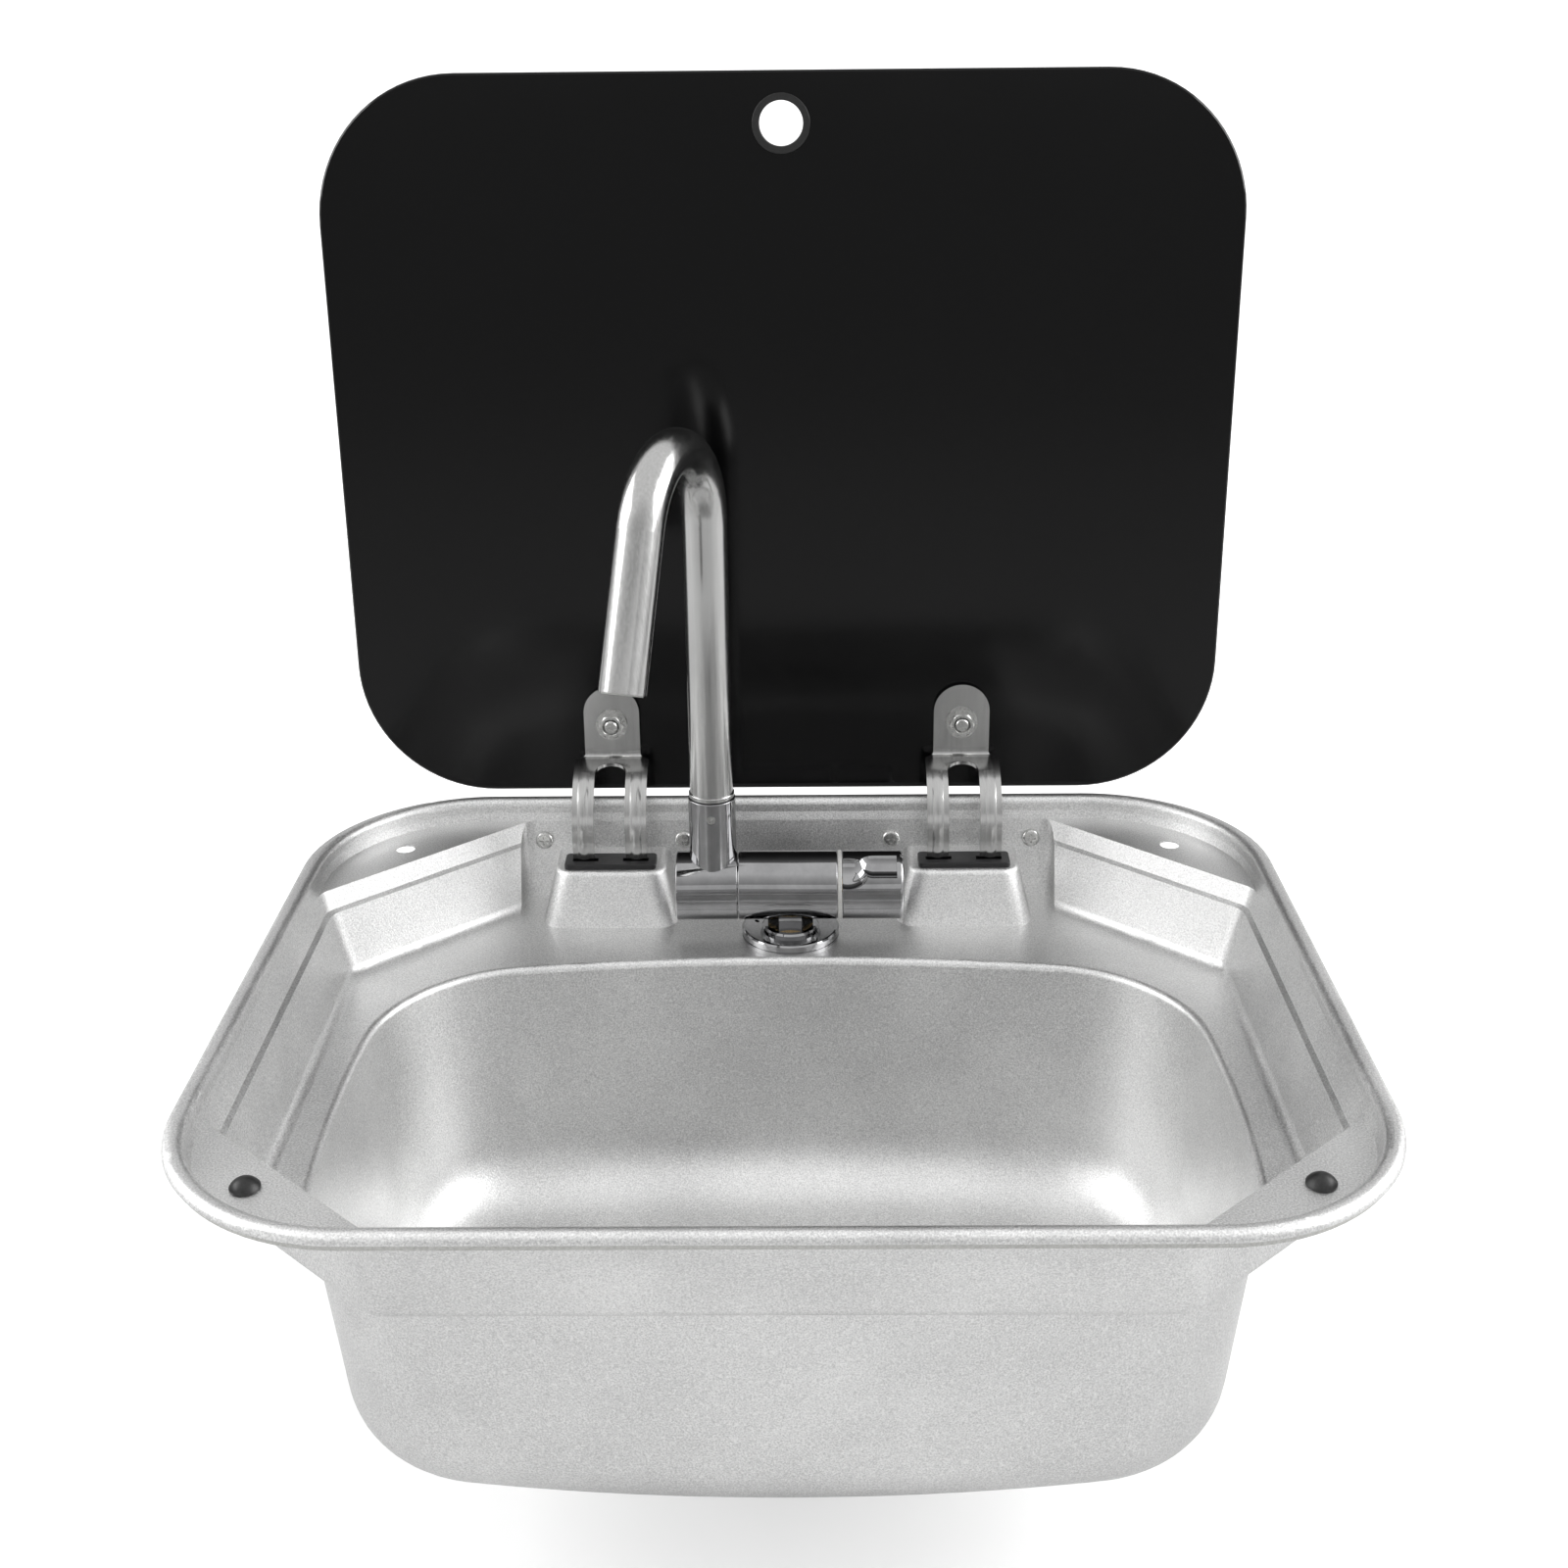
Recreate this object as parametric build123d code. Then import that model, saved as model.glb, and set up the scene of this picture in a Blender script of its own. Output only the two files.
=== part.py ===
from build123d import *
import math
import os

# Drop-in sink with a hinged glass lid and a folding tap.
# X runs left to right, Y from front to back, Z up. The origin is the middle of the rim's
# outline, on the worktop's surface, where the foam seal rests. Depths are counted down
# from the crown of the rim's bead.

# Rim and bead
rim_width = 420.0
rim_length = 344.0
rim_corner_radius = 73.5
rim_height = 6.0
sheet = 0.8
bead_width = 7.6
bead_radius = 3.4
bead_flank_depth = 6.2
bead_flank_lean = 0.2

# Recess between the rim and the ledge
plate_depth = 10.0
upper_wall_lean = 1.0
side_flat = 176.0
rear_flat = 241.0
recess_corner_radius = 10.0
step_depth = 18.0
step_lean = 2.7
step_height = 1.2
step_width = 2.0
ledge_depth = 46.8
lower_wall_lean = 7.2
ledge_fillet = 5.0
rear_wall_lean = 5.2
rear_wall_width = 247.0
rear_wall_corner = 6.0
front_corner_shift = 2.2
front_corner_lean = 1.0

# Bowl
bowl_side_shelf = 36.2
bowl_back_shelf = 77.0
bowl_front_shelf = 30.3
bowl_end_bow_radius = 850.0
bowl_side_bow_radius = 700.0
bowl_corner_radius = 64.0
bowl_depth = 155.0
bowl_wall_lean = 10.0
bowl_floor_radius = 32.0
bowl_lip_radius = 3.0

# Seal and corner plates
seal_gap = 0.3
seal_inset = 1.4
seal_shoulder_depth = 3.0
seal_top_width = 1.6
rear_hole_from_side = 37.6
rear_hole_from_back = 38.6
rear_fixing_hole_radius = 4.3
front_hole_from_side = 33.4
front_hole_from_front = 41.0
bumper_hole_radius = 3.0
bumper_radius = 5.2
bumper_flank = 0.9
bumper_tip_radius = 2.0
rest_gap = 0.05
bumper_neck_gap = 0.1
bumper_barb_radius = 3.9
bumper_barb_height = 3.2

# Glass lid, given in its closed place
glass_thickness = 5.0
glass_side_gap = 5.6
glass_front_gap = 5.2
glass_back_gap = 6.4
glass_corner_radius = 60.5
glass_top_depth = 0.7
glass_edge_chamfer = 0.8
lid_seat_gap = 0.3
finger_hole_radius = 10.4
finger_hole_from_front = 21.0
grommet_inner_radius = 9.2
grommet_outer_radius = 12.2
grommet_lip = 1.3
grommet_fit = 0.1

# Lid hinges
hinge_x = 80.8
pivot_from_back = 2.0
pivot_depth = 11.3
lid_open_angle = 92.7
arm_thickness = 1.8
arm_radius = 28.5
arm_bend_radius = 2.4
arm_plate_width = 25.6
arm_plate_length = 51.0
arm_bolt_from_edge = 33.0
arm_bolt_hole_radius = 3.1
fork_width = 33.8
fork_slot_width = 14.2
fork_slot_start = 32.0
fork_rib_width = 5.0
fork_rib_height = 0.5
fork_end_angle = 158.0
fork_stop_arc = 5.0
pad_thickness = 1.2
pad_radius = 12.0

# Lid bolts
bolt_radius = 3.0
bolt_head_radius = 8.0
bolt_head_height = 3.0
bolt_glass_hole_radius = 4.2
bolt_gasket_thickness = 1.0
bolt_gasket_radius = 7.4
bolt_fit = 0.1
bolt_tip = 0.3
bolt_point = 0.5
nut_flats = 10.0
nut_height = 5.2
nut_edge = 0.6
nut_countersink = 0.8
nut_flange_radius = 7.2
nut_flange_height = 1.6

# Pockets in the rear wall, slot bushes and hinge guides
pocket_depth = 22.8
pocket_top_width = 50.0
pocket_foot_width = 62.0
pocket_top_length = 37.6
pocket_foot_length = 46.2
pocket_corner_radius = 9.0
pocket_top_radius = 3.0
bush_before_arc = 0.5
bush_lip = 2.5
bush_edge = 0.5
bush_lip_side = 1.65
bush_lip_end = 1.4
bush_corner_radius = 2.0
bush_slot_gap = 0.45
tongue_gap = 1.5
bush_wall = 1.85
bush_hole_length = 10.2
bush_fit = 0.1
bush_plug = 1.1
bush_slot_end_angle = 215.0
guide_gap = 0.45
guide_wall = 3.15
guide_front_wall = 2.7
guide_channel_start_angle = 190.0
guide_channel_end_angle = 280.0
guide_bottom_depth = 44.0
guide_plate_width = 78.0
guide_plate_top_depth = 12.5
guide_plate_thickness = 3.0
guide_seat_gap = 0.1
guide_pin_radius = 1.5
guide_pin_gap = 0.2
guide_pin_angles = (218.0, 236.0)
guide_pin_fit = 0.02
stop_gap = 0.6
screw_spread = 32.5
screw_depth = 19.0
screw_radius = 2.0
screw_head_radius = 4.1
screw_head_height = 2.4
screw_slot_width = 1.0
screw_length = 4.4
screw_fit = 0.1

# Tap
tap_x = 1.5
tap_from_bowl = 24.5
tap_axis_depth = 22.2
barrel_radius = 15.4
swivel_length = 27.1
middle_length = 45.9
handle_length = 27.1
barrel_joint_gap = 0.35
barrel_edge = 0.5
bezel_width = 1.9
spigot_radius = 9.0
spigot_length = 16.0
running_fit = 0.06
water_bore_radius = 5.0
neck_flats = 17.6
neck_bore_radius = 7.0
neck_bore_depth = 4.0
flange_radius = 21.8
flange_height = 4.6
flange_groove = 0.5
flange_groove_height = 1.3
flange_edge = 0.6
flange_collar_radius = 12.8
flange_collar_edge = 0.8
flange_dish_radius = 20.4
flange_dish_depth = 1.8
flange_collar_height = 1.0
flange_pinhole_radius = 1.1
flange_pinhole_depth = 3.0
flange_pinhole_place = 16.2
flange_pinhole_angle = 160.0
shank_radius = 10.0
shank_length = 26.0
shank_edge = 1.0
inlet_radius = 6.0
inlet_length = 24.5
inlet_edge = 0.5
inlet_bore_radius = 4.2
tap_hole_radius = 11.0
deck_washer_radius = 19.0
deck_washer_thickness = 2.0
deck_nut_flats = 30.0
deck_nut_height = 8.0
deck_nut_edge = 0.8
thread_fit = 0.1
collar_from_joint = 10.8
collar_radius = 10.4
collar_height = 43.4
collar_bore_radius = 7.0
collar_bore_depth = 24.0
port_radius = 2.2
spout_radius = 9.4
spout_wall = 1.2
spout_swing = 72.0
spout_top = 182.0
spout_bend_radius = 36.0
spout_bend_turn = 158.0
spout_outlet_height = 102.0
spout_tail_length = 20.0
spout_foot = 2.2
spout_foot_radius = 10.0
spout_tail_bore_radius = 3.6
spout_groove_depth = 1.0
spout_groove_width = 5.0
spout_seat_gap = 0.3
aerator_length = 9.0
aerator_proud = 0.6
aerator_wall = 1.4
aerator_grid_thickness = 1.6
aerator_grid_hole_radius = 0.9
aerator_grid_ring = 3.4
grub_radius = 2.0
grub_socket_flats = 2.0
grub_height = 36.0
grub_length = 3.6
grub_inset = 0.3
cartridge_radius = 10.5
cartridge_length = 17.0
spindle_radius = 3.5
spindle_reach = 14.0
spindle_depth = 10.0
scoop_radius = 9.0
scoop_depth = 3.4
thumb_radius = 12.0
thumb_depth = 4.5
thumb_place = 2.2
thumb_angle = 45.0
scoop_start = 13.7
scoop_angle = 58.0
scoop_end_wall = 3.2
handle_end_radius = 2.0
end_cap_radius = 12.4
end_cap_thickness = 1.2
end_cap_fit = 0.1
handle_screw_radius = 2.0
handle_screw_head_radius = 3.6
handle_screw_length = 9.0
handle_screw_head_height = 2.2
handle_screw_pocket = 6.0
o_ring_radius = 1.0
o_ring_clearance = 0.03
o_ring_spacing = 10.8
o_ring_from_end = 3.6
spout_ring_depths = (12.5, 16.5)

# Waste
waste_hole_radius = 26.0
waste_flange_radius = 34.0
waste_flange_height = 1.6
waste_bore_radius = 22.0
waste_body_radius = 25.4
waste_body_length = 26.0
waste_gasket_thickness = 2.4
waste_gasket_radius = 33.0
waste_nut_radius = 35.0
waste_nut_height = 10.0
waste_nut_rib_count = 12
waste_tail_radius = 16.0
waste_tail_bore_radius = 13.4
waste_tail_length = 30.0
waste_tail_step = 3.2
waste_tail_cone = 2.4
waste_thread_fit = 0.1
strainer_depth = 12.0
strainer_sheet = 1.0
strainer_rim_radius = 24.6
strainer_hole_radius = 1.6
strainer_row_count = 2
strainer_row_spacing = 5.6
strainer_row_hole_count = 6
strainer_knob_radius = 4.0
strainer_knob_height = 9.0
strainer_gap = 0.3


def level(depth):
    """Height of a point that lies this far below the crown of the bead."""
    return rim_height - depth


def pivot_y():
    """Place of the lid's pivot, just inside the rim's rear edge."""
    return rim_length / 2 - pivot_from_back


def bowl_half_width():
    """Half of the bowl's mouth across the middle."""
    return rim_width / 2 - bowl_side_shelf


def bowl_back():
    """Rear edge of the bowl's mouth."""
    return rim_length / 2 - bowl_back_shelf


def bowl_front():
    """Front edge of the bowl's mouth."""
    return bowl_front_shelf - rim_length / 2


def tap_y():
    """The tap stands on the ledge behind the bowl."""
    return bowl_back() + tap_from_bowl


def rear_hole():
    """Place of the right rear fixing hole."""
    return (rim_width / 2 - rear_hole_from_side, rim_length / 2 - rear_hole_from_back)


def front_hole():
    """Place of the right front hole, which holds a rubber dome."""
    return (rim_width / 2 - front_hole_from_side, front_hole_from_front - rim_length / 2)


def rounded(width, length, radius):
    """Rounded rectangle in the XY plane."""
    return RectangleRounded(width, length, radius)


def rim_outline(inset):
    """The rim's outline, drawn in by a distance."""
    return rounded(rim_width - 2 * inset, rim_length - 2 * inset, rim_corner_radius - inset)


def sink_down(face, top, height, lean):
    """Solid below a face whose walls lean inwards by a distance over its height."""
    angle = math.degrees(math.atan2(lean, height))
    return extrude(Pos(0, 0, top) * face, amount=height, dir=(0, 0, -1), taper=angle)


def at_pivot(shape):
    """Turns a piece of the closed lid up to where it stands open."""
    axis = Axis((0, pivot_y(), level(pivot_depth)), (1, 0, 0))
    return shape.rotate(axis, -lid_open_angle)


def side_point(radius, angle):
    """Point in the YZ plane at an angle round the lid's pivot, counted from +Y towards +Z."""
    turn = math.radians(angle)
    return (pivot_y() + radius * math.cos(turn), level(pivot_depth) + radius * math.sin(turn))


def pair(shape):
    """A piece and its copy on the other side of the middle."""
    return Compound([shape, mirror(shape, about=Plane.YZ)])


def write(name, shape):
    """Writes one piece, or a group of like pieces, under its own name."""
    solids = [solid for solid in shape.solids()]
    whole = solids[0] if len(solids) == 1 else Compound(solids)
    export_step(whole, os.path.join("parts", name + ".step"))
    print(name, len(solids), round(sum(solid.volume for solid in solids), 1))


# ---- Basin: rim bead, recess with corner plates, ledge, pockets and bowl, pressed in one sheet

def rim_path():
    """Closed path along the rim's outer edge, starting at the middle of the right side."""
    half_x = rim_width / 2
    half_y = rim_length / 2
    radius = rim_corner_radius
    lines = []
    for quarter in range(4):
        turn = 90 * quarter
        side = (half_x, half_y) if quarter % 2 == 0 else (half_y, half_x)
        local = [
            Line((side[0], 0), (side[0], side[1] - radius)),
            CenterArc((side[0] - radius, side[1] - radius), radius, 0, 90),
            Line((side[0] - radius, side[1]), (0, side[1])),
        ]
        lines += [Rot(0, 0, turn) * edge for edge in local]
    return Wire([edge for line in lines for edge in line.edges()])


def bead():
    """Pressed bead with an open underside."""
    outer = bead_radius
    inner = bead_radius - sheet
    crown = bead_width - 2 * bead_radius
    foot = bead_width + bead_flank_lean
    diagonal = math.sqrt(0.5)

    def at(inset, depth):
        return (rim_width / 2 - inset, level(depth))

    def corner(centre_inset, radius, side):
        return at(centre_inset + side * radius * diagonal, bead_radius - radius * diagonal)

    far = bead_radius + crown
    edges = [
        ThreePointArc(at(0, bead_radius), corner(bead_radius, outer, -1), at(bead_radius, 0)),
        Line(at(bead_radius, 0), at(far, 0)),
        ThreePointArc(at(far, 0), corner(far, outer, 1), at(bead_width, bead_radius)),
        Line(at(bead_width, bead_radius), at(foot, bead_flank_depth)),
        Line(at(foot, bead_flank_depth), at(foot - sheet, bead_flank_depth)),
        Line(at(foot - sheet, bead_flank_depth), at(bead_width - sheet, bead_radius)),
        ThreePointArc(at(bead_width - sheet, bead_radius), corner(far, inner, 1), at(far, sheet)),
        Line(at(far, sheet), at(bead_radius, sheet)),
        ThreePointArc(at(bead_radius, sheet), corner(bead_radius, inner, -1), at(sheet, bead_radius)),
        Line(at(sheet, bead_radius), at(0, bead_radius)),
    ]
    face = Plane.XZ * make_face(edges)
    return sweep(face, path=rim_path())


def recess_outline(inset, front_inset, grow):
    """Eight-sided outline of the recess; the front corners have an inset of their own."""
    half_x = rim_width / 2 - bead_width - bead_flank_lean - upper_wall_lean
    half_y = rim_length / 2 - bead_width - bead_flank_lean - upper_wall_lean
    inset = inset - grow
    front_inset = front_inset - grow
    run = half_x - rear_flat / 2
    rise = half_y - side_flat / 2
    length = math.hypot(run, rise)
    reach = (rise * half_x + run * side_flat / 2) / length
    right = half_x - inset
    back = half_y - inset
    corners = []
    for side, own in ((1, inset), (-1, front_inset - front_corner_shift)):
        side_y = ((reach - own) * length - rise * right) / run
        end_x = ((reach - own) * length - run * back) / rise
        corners.append([(right, side * side_y), (end_x, side * back)])
    rear, front = corners
    points = rear + [(-x, y) for x, y in reversed(rear)]
    points += [(-x, y) for x, y in front] + list(reversed(front))
    face = make_face(Polyline(*points, close=True))
    return fillet(face.vertices(), recess_corner_radius + grow)


def recess_stage(grow, top, height, inset, lean, front_inset, front_lean):
    """Stretch of the recess between two depths, walls leaning by a distance."""
    upper = Pos(0, 0, level(top)) * recess_outline(inset, front_inset, grow)
    lower_outline = recess_outline(inset + lean, front_inset + front_lean, grow)
    lower = Pos(0, 0, level(top + height)) * lower_outline
    return loft([upper, lower], ruled=True)


def bowl_outline(grow):
    """Outline of the bowl's mouth with gently bowed sides, let out by a distance."""
    half_x = bowl_half_width() + grow
    half_y = (bowl_back() - bowl_front()) / 2 + grow
    corner_x = half_x
    corner_y = half_y
    for _ in range(30):
        corner_y = half_y - bowl_end_bow_radius + math.sqrt(bowl_end_bow_radius**2 - corner_x**2)
        corner_x = half_x - bowl_side_bow_radius + math.sqrt(bowl_side_bow_radius**2 - corner_y**2)
    corners = [(corner_x, corner_y), (-corner_x, corner_y), (-corner_x, -corner_y), (corner_x, -corner_y)]
    middles = [(0, half_y), (-half_x, 0), (0, -half_y), (half_x, 0)]
    arcs = [ThreePointArc(corners[i], middles[i], corners[(i + 1) % 4]) for i in range(4)]
    face = fillet(make_face(arcs).vertices(), bowl_corner_radius + grow)
    return Pos(0, (bowl_back() + bowl_front()) / 2, 0) * face


def floor_edges(solid, height):
    """Edges that lie flat at one height."""
    flat = []
    for edge in solid.edges():
        box = edge.bounding_box()
        if abs(box.min.Z - height) < 1e-4 and abs(box.max.Z - height) < 1e-4:
            flat.append(edge)
    return flat


def rear_wall_y(depth):
    """Inside face of the plain rear wall at a depth."""
    top_y = rim_length / 2 - bead_width - bead_flank_lean - upper_wall_lean
    return top_y - rear_wall_lean * (depth - plate_depth) / (ledge_depth - plate_depth)


def rear_wall_space(grow):
    """Plain stretch of the rear wall, between the two rear corner plates."""
    foot = ledge_depth + grow
    front = bowl_back() + 2 * bowl_lip_radius
    side = [
        (rear_wall_y(plate_depth) + grow, level(plate_depth)),
        (rear_wall_y(foot) + grow, level(foot)),
        (front, level(foot)),
        (front, level(plate_depth)),
    ]
    face = Plane.YZ * make_face(Polyline(*side, close=True))
    space = extrude(face, amount=rear_wall_width / 2 + grow, both=True)
    upright = []
    for edge in space.edges():
        if edge.center().Y > front + 1 and edge.bounding_box().size.Z > foot - plate_depth - 1e-3:
            upright.append(edge)
    return fillet(upright, rear_wall_corner + grow)


def inside(grow):
    """Space inside the sink below the bead, let out by a distance on every side."""
    flank = bead_width + bead_flank_lean
    upper_height = plate_depth + grow - bead_flank_depth
    upper_lean = upper_wall_lean * upper_height / (plate_depth - bead_flank_depth)
    space = sink_down(rim_outline(flank - grow), level(bead_flank_depth), upper_height, upper_lean)
    foot_top = step_depth + step_height
    front_share = front_corner_lean / (ledge_depth - plate_depth)
    stages = (
        (plate_depth, step_depth - plate_depth, step_lean),
        (step_depth, step_height, step_width),
        (foot_top, ledge_depth - foot_top, lower_wall_lean),
    )
    inset = 0
    for top, height, lean in stages:
        front_inset = front_share * (top - plate_depth)
        if top == foot_top:
            lean = lean * (height + grow) / height
            height = height + grow
        stage = recess_stage(grow, top, height, inset, lean, front_inset, front_share * height)
        if top == foot_top:
            stage = fillet(floor_edges(stage, level(ledge_depth + grow)), ledge_fillet + grow)
        space += stage
        inset = inset + lean
    space += rear_wall_space(grow)
    bowl_height = bowl_depth - ledge_depth + grow
    bowl_lean = bowl_wall_lean * bowl_height / (bowl_depth - ledge_depth)
    bowl = sink_down(bowl_outline(grow), level(ledge_depth), bowl_height, bowl_lean)
    space += fillet(floor_edges(bowl, level(bowl_depth + grow)), bowl_floor_radius + grow)
    reach = bowl_lip_radius
    mouth = [
        edge
        for edge in floor_edges(space, level(ledge_depth + grow))
        if abs(edge.center().X) < bowl_half_width() + reach
        and bowl_front() - reach < edge.center().Y < bowl_back() + reach
        and edge.bounding_box().max.Y < bowl_back() + reach
    ]
    return fillet(mouth, bowl_lip_radius - grow)


def pocket_outline(depth, inset):
    """Plan of one rear pocket at a depth."""
    share = (depth - pocket_depth) / (ledge_depth - pocket_depth)
    width = pocket_top_width + (pocket_foot_width - pocket_top_width) * share - 2 * inset
    length = pocket_top_length + (pocket_foot_length - pocket_top_length) * share - inset
    front = rim_length / 2 - length
    outline = rounded(width, length, pocket_corner_radius - inset)
    return Pos(hinge_x, front + length / 2, level(depth)) * outline


def pocket(inset, foot):
    """One rear pocket, down to a depth, drawn in by a distance."""
    top = pocket_depth + inset
    block = loft([pocket_outline(top, inset), pocket_outline(foot, inset)], ruled=True)
    return fillet(floor_edges(block, level(top)), pocket_top_radius - inset)


def through_hole(x, y, radius, depth):
    """Upright cylinder through the level sheet at a depth."""
    return Pos(x, y, level(depth + 2 * sheet)) * extrude(Circle(radius), amount=3 * sheet)


def wall_plane(x, depth):
    """Plane on the rear wall's inside face, facing into the sink."""
    slope = rear_wall_lean / (ledge_depth - plate_depth)
    return Plane(origin=(x, rear_wall_y(depth), level(depth)), x_dir=(1, 0, 0), z_dir=(0, -1, slope))


def sink_basin():
    """The whole pressed basin in one sheet."""
    solid = pocket(0, ledge_depth)
    hollow = pocket(sheet, ledge_depth + 2 * sheet)
    space = inside(0) - solid - mirror(solid, about=Plane.YZ)
    body = inside(sheet) - space - hollow - mirror(hollow, about=Plane.YZ)
    body += bead()
    slot = rounded(bush_hole_width(), bush_hole_length, bush_corner_radius)
    for x in (-hinge_x, hinge_x):
        body -= extrude(Pos(x, bush_y(), level(pocket_depth - sheet)) * slot, amount=-3 * sheet)
        for offset in (-screw_spread, screw_spread):
            body -= wall_plane(x + offset, screw_depth) * Cylinder(screw_radius + screw_fit, 6 * sheet)
    for place, radius in ((rear_hole(), rear_fixing_hole_radius), (front_hole(), bumper_hole_radius)):
        for x in (-place[0], place[0]):
            body -= through_hole(x, place[1], radius, plate_depth)
    body -= through_hole(tap_x, tap_y(), tap_hole_radius, ledge_depth)
    body -= through_hole(0, waste_y(), waste_hole_radius, bowl_depth)
    return body


def waste_y():
    """The waste sits in the middle of the bowl's floor."""
    return (bowl_back() + bowl_front()) / 2


# ---- Foam seal and rubber domes

def rim_seal():
    """Strip of foam inside the bead; its underside is the worktop's surface."""
    middle = bead_width / 2
    top = sheet + seal_gap
    points = [
        (seal_inset, rim_height),
        (seal_inset, seal_shoulder_depth),
        (middle - seal_top_width / 2, top),
        (middle + seal_top_width / 2, top),
        (bead_width - seal_inset, seal_shoulder_depth),
        (bead_width - seal_inset, rim_height),
    ]
    corners = [(rim_width / 2 - inset, level(depth)) for inset, depth in points]
    face = Plane.XZ * make_face(Polyline(*corners, close=True))
    return sweep(face, path=rim_path())


def corner_bumpers():
    """Domes in the front corner plates that the closed lid comes to rest on."""
    height = plate_depth - glass_top_depth - glass_thickness - lid_seat_gap
    under = -sheet - 2 * rest_gap
    rise = height - bumper_flank
    crown_radius = (bumper_radius**2 + rise**2) / (2 * rise)
    half_turn = math.asin(bumper_radius / crown_radius) / 2
    shoulder = (crown_radius * math.sin(half_turn), height - crown_radius * (1 - math.cos(half_turn)))
    neck = bumper_hole_radius - bumper_neck_gap
    outline = [
        Line((0, height), (0, under - bumper_barb_height)),
        Line((0, under - bumper_barb_height), (bumper_tip_radius, under - bumper_barb_height)),
        Line((bumper_tip_radius, under - bumper_barb_height), (bumper_barb_radius, under)),
        Line((bumper_barb_radius, under), (neck, under)),
        Line((neck, under), (neck, rest_gap)),
        Line((neck, rest_gap), (bumper_radius, rest_gap)),
        Line((bumper_radius, rest_gap), (bumper_radius, bumper_flank)),
        ThreePointArc((bumper_radius, bumper_flank), shoulder, (0, height)),
    ]
    dome = revolve(Plane.XZ * make_face(outline), axis=Axis.Z)
    return pair(Pos(*front_hole(), level(plate_depth)) * dome)


# ---- Lid, drawn in its closed place

def lid_back():
    """Rear edge of the closed lid."""
    return rim_length / 2 - bead_width - bead_flank_lean - glass_back_gap


def lid_front():
    """Front edge of the closed lid."""
    return -(rim_length / 2 - bead_width - bead_flank_lean - glass_front_gap)


def bolt_y():
    """Place of the lid bolts."""
    return lid_back() - arm_bolt_from_edge


def lid_underside():
    """Height of the closed lid's underside."""
    return level(glass_top_depth + glass_thickness)


def disc(x, y, low, high, radius):
    """Upright cylinder between two heights."""
    return Pos(x, y, low) * extrude(Circle(radius), amount=high - low)


def glass_lid():
    """Pane with a finger hole and two bolt holes."""
    width = rim_width - 2 * (bead_width + bead_flank_lean + glass_side_gap)
    length = lid_back() - lid_front()
    pane = extrude(rounded(width, length, glass_corner_radius), amount=glass_thickness)
    pane = Pos(0, (lid_back() + lid_front()) / 2, lid_underside()) * pane
    low = lid_underside()
    high = low + glass_thickness
    flat = floor_edges(pane, low) + floor_edges(pane, high)
    pane = chamfer(flat, glass_edge_chamfer)
    pane -= disc(0, lid_front() + finger_hole_from_front, low - 1, high + 1, finger_hole_radius)
    for x in (-hinge_x, hinge_x):
        pane -= disc(x, bolt_y(), low - 1, high + 1, bolt_glass_hole_radius)
    return at_pivot(pane)


def lid_grommet():
    """Ring in the finger hole, with a lip on either face of the glass."""
    half = glass_thickness / 2
    neck = finger_hole_radius - grommet_fit
    outline = [
        (grommet_inner_radius, -half - grommet_lip),
        (grommet_outer_radius, -half - grommet_lip),
        (grommet_outer_radius, -half - rest_gap),
        (neck, -half - rest_gap),
        (neck, half + rest_gap),
        (grommet_outer_radius, half + rest_gap),
        (grommet_outer_radius, half + grommet_lip),
        (grommet_inner_radius, half + grommet_lip),
    ]
    ring = revolve(Plane.XZ * make_face(Polyline(*outline, close=True)), axis=Axis.Z)
    rims = [edge for edge in ring.edges() if abs(abs(edge.center().Z) - half - grommet_lip) < 1e-3]
    ring = fillet(rims, grommet_lip / 3)
    return at_pivot(Pos(0, lid_front() + finger_hole_from_front, lid_underside() + half) * ring)


def sector(inner, outer, start, end):
    """Face in the YZ plane between two radii and two angles round the lid's pivot."""
    middle = (start + end) / 2
    edges = [
        Line(side_point(inner, start), side_point(outer, start)),
        ThreePointArc(side_point(outer, start), side_point(outer, middle), side_point(outer, end)),
        Line(side_point(outer, end), side_point(inner, end)),
        ThreePointArc(side_point(inner, end), side_point(inner, middle), side_point(inner, start)),
    ]
    return Plane.YZ * make_face(edges)


def slab(face, width):
    """Solid of a YZ face, centred on the hinge, of this width."""
    return Pos(hinge_x, 0, 0) * extrude(face, amount=width / 2, both=True)


def arm_middle():
    """Height of the middle of the arm's plate under the closed lid."""
    return lid_underside() - pad_thickness - arm_thickness / 2


def bend_angle():
    """Angle round the pivot at which the arc leaves the plate, lid closed."""
    return 180 - math.degrees(math.asin((arm_middle() - level(pivot_depth)) / arm_radius))


def leg_rib(start, end):
    """Rounded rib round the outer side of a leg."""
    half = fork_rib_width / 2
    outer = arm_radius + arm_thickness / 2
    turn = math.radians(start)
    middle = (0, pivot_y(), level(pivot_depth))
    across = Plane(origin=middle, x_dir=(1, 0, 0), z_dir=(0, -math.sin(turn), math.cos(turn)))
    edges = [
        Line((-half, arm_radius), (-half, outer)),
        ThreePointArc((-half, outer), (0, outer + fork_rib_height), (half, outer)),
        Line((half, outer), (half, arm_radius)),
        Line((half, arm_radius), (-half, arm_radius)),
    ]
    rib = revolve(across * make_face(edges), axis=Axis(middle, (1, 0, 0)), revolution_arc=end - start)
    return Pos(hinge_x, 0, 0) * rib


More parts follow.
